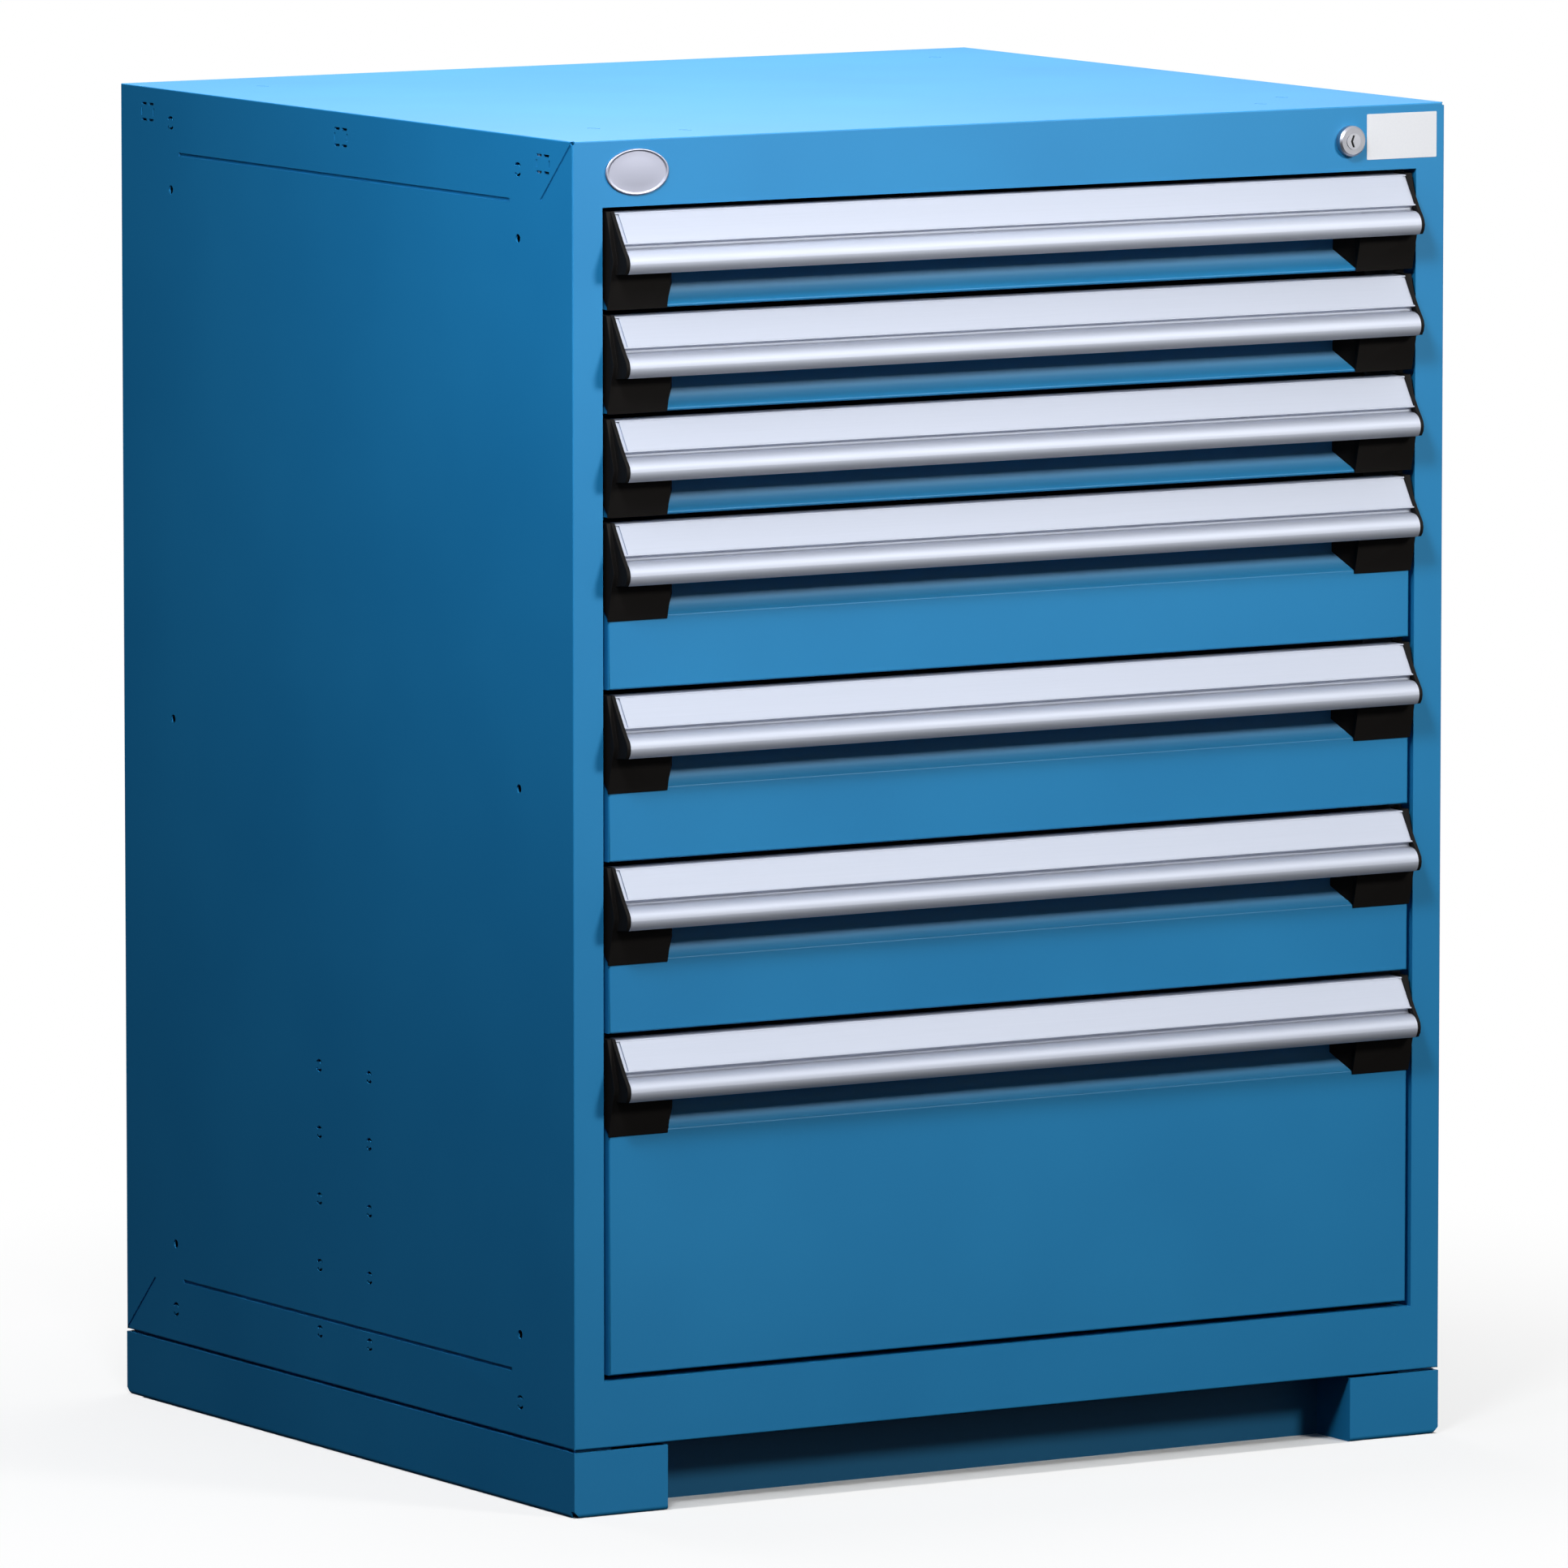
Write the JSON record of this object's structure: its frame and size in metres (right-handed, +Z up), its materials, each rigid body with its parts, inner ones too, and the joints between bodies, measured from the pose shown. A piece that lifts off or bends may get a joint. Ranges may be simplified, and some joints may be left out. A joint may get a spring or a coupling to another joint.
{
  "type": "drawer cabinet",
  "caption": "Free-standing painted steel drawer cabinet on a low base, with full-extension drawers, aluminium label handles and a key lock.",
  "frame": {"origin": "on the floor, under the middle of the cabinet's bounding box", "axes": "+X to the cabinet's right seen from the front, +Y to its back, +Z up"},
  "size_m": [0.762, 0.709, 1.016],
  "materials": {
    "blue_paint": "satin powder coat",
    "handle_aluminium": "satin anodised",
    "cap_plastic": "fine matt grain",
    "label_strip": "satin",
    "slide_steel": "zinc plated",
    "lock_chrome": "polished",
    "badge_metal": "satin",
    "card": "plain white"
  },
  "bodies": {
    "cabinet": {"left_side_panel": "blue_paint", "right_side_panel": "blue_paint", "top_panel": "blue_paint", "floor_panel": "blue_paint", "back_panel": "blue_paint", "slide_posts": "slide_steel", "fixed_rails": "slide_steel", "base_left": "blue_paint", "base_right": "blue_paint", "toe_plate": "blue_paint", "base_rear": "blue_paint", "lock_cylinder": "lock_chrome", "badge_plate": "badge_metal", "blank_card": "card"},
    "key": {"key_plug": "lock_chrome"},
    "bar": {"lock_bar": "slide_steel"},
    "drawer_1": {"drawer_1_body": "blue_paint", "drawer_1_handle": "handle_aluminium", "drawer_1_label": "label_strip", "drawer_1_end_caps": "cap_plastic", "drawer_1_rails": "slide_steel"},
    "carriage_1": {"carriage_1": "slide_steel"},
    "drawer_2": {"drawer_2_body": "blue_paint", "drawer_2_handle": "handle_aluminium", "drawer_2_label": "label_strip", "drawer_2_end_caps": "cap_plastic", "drawer_2_rails": "slide_steel"},
    "carriage_2": {"carriage_2": "slide_steel"},
    "drawer_3": {"drawer_3_body": "blue_paint", "drawer_3_handle": "handle_aluminium", "drawer_3_label": "label_strip", "drawer_3_end_caps": "cap_plastic", "drawer_3_rails": "slide_steel"},
    "carriage_3": {"carriage_3": "slide_steel"},
    "drawer_4": {"drawer_4_body": "blue_paint", "drawer_4_handle": "handle_aluminium", "drawer_4_label": "label_strip", "drawer_4_end_caps": "cap_plastic", "drawer_4_rails": "slide_steel"},
    "carriage_4": {"carriage_4": "slide_steel"},
    "drawer_5": {"drawer_5_body": "blue_paint", "drawer_5_handle": "handle_aluminium", "drawer_5_label": "label_strip", "drawer_5_end_caps": "cap_plastic", "drawer_5_rails": "slide_steel"},
    "carriage_5": {"carriage_5": "slide_steel"},
    "drawer_6": {"drawer_6_body": "blue_paint", "drawer_6_handle": "handle_aluminium", "drawer_6_label": "label_strip", "drawer_6_end_caps": "cap_plastic", "drawer_6_rails": "slide_steel"},
    "carriage_6": {"carriage_6": "slide_steel"},
    "drawer_7": {"drawer_7_body": "blue_paint", "drawer_7_handle": "handle_aluminium", "drawer_7_label": "label_strip", "drawer_7_end_caps": "cap_plastic", "drawer_7_rails": "slide_steel"},
    "carriage_7": {"carriage_7": "slide_steel"}
  },
  "joints": [
    {"name": "drawer_1_slide", "type": "slide", "parent": "cabinet", "child": "drawer_1", "axis": [0, -1, 0], "range_m": [0, 0.61]},
    {"name": "carriage_1_slide", "type": "slide", "parent": "cabinet", "child": "carriage_1", "axis": [0, -1, 0], "range_m": [0, 0.305]},
    {"name": "drawer_2_slide", "type": "slide", "parent": "cabinet", "child": "drawer_2", "axis": [0, -1, 0], "range_m": [0, 0.61]},
    {"name": "carriage_2_slide", "type": "slide", "parent": "cabinet", "child": "carriage_2", "axis": [0, -1, 0], "range_m": [0, 0.305]},
    {"name": "drawer_3_slide", "type": "slide", "parent": "cabinet", "child": "drawer_3", "axis": [0, -1, 0], "range_m": [0, 0.61]},
    {"name": "carriage_3_slide", "type": "slide", "parent": "cabinet", "child": "carriage_3", "axis": [0, -1, 0], "range_m": [0, 0.305]},
    {"name": "drawer_4_slide", "type": "slide", "parent": "cabinet", "child": "drawer_4", "axis": [0, -1, 0], "range_m": [0, 0.61]},
    {"name": "carriage_4_slide", "type": "slide", "parent": "cabinet", "child": "carriage_4", "axis": [0, -1, 0], "range_m": [0, 0.305]},
    {"name": "drawer_5_slide", "type": "slide", "parent": "cabinet", "child": "drawer_5", "axis": [0, -1, 0], "range_m": [0, 0.61]},
    {"name": "carriage_5_slide", "type": "slide", "parent": "cabinet", "child": "carriage_5", "axis": [0, -1, 0], "range_m": [0, 0.305]},
    {"name": "drawer_6_slide", "type": "slide", "parent": "cabinet", "child": "drawer_6", "axis": [0, -1, 0], "range_m": [0, 0.61]},
    {"name": "carriage_6_slide", "type": "slide", "parent": "cabinet", "child": "carriage_6", "axis": [0, -1, 0], "range_m": [0, 0.305]},
    {"name": "drawer_7_slide", "type": "slide", "parent": "cabinet", "child": "drawer_7", "axis": [0, -1, 0], "range_m": [0, 0.61]},
    {"name": "carriage_7_slide", "type": "slide", "parent": "cabinet", "child": "carriage_7", "axis": [0, -1, 0], "range_m": [0, 0.305]},
    {"name": "key_turn", "type": "hinge", "parent": "cabinet", "child": "key", "pos_m": [0.2952, -0.3313, 0.99], "axis": [0, -1, 0], "range_deg": [0, 90]},
    {"name": "lock_bar_slide", "type": "slide", "parent": "cabinet", "child": "bar", "axis": [0, 0, 1], "range_m": [0, 0.01202]}
  ],
  "couplings": [
    {"joint": "carriage_1_slide", "follows": "drawer_1_slide", "ratio": 0.5},
    {"joint": "carriage_2_slide", "follows": "drawer_2_slide", "ratio": 0.5},
    {"joint": "carriage_3_slide", "follows": "drawer_3_slide", "ratio": 0.5},
    {"joint": "carriage_4_slide", "follows": "drawer_4_slide", "ratio": 0.5},
    {"joint": "carriage_5_slide", "follows": "drawer_5_slide", "ratio": 0.5},
    {"joint": "carriage_6_slide", "follows": "drawer_6_slide", "ratio": 0.5},
    {"joint": "carriage_7_slide", "follows": "drawer_7_slide", "ratio": 0.5},
    {"joint": "key_turn", "follows": "lock_bar_slide", "rad_per_m": 130.67}
  ]
}
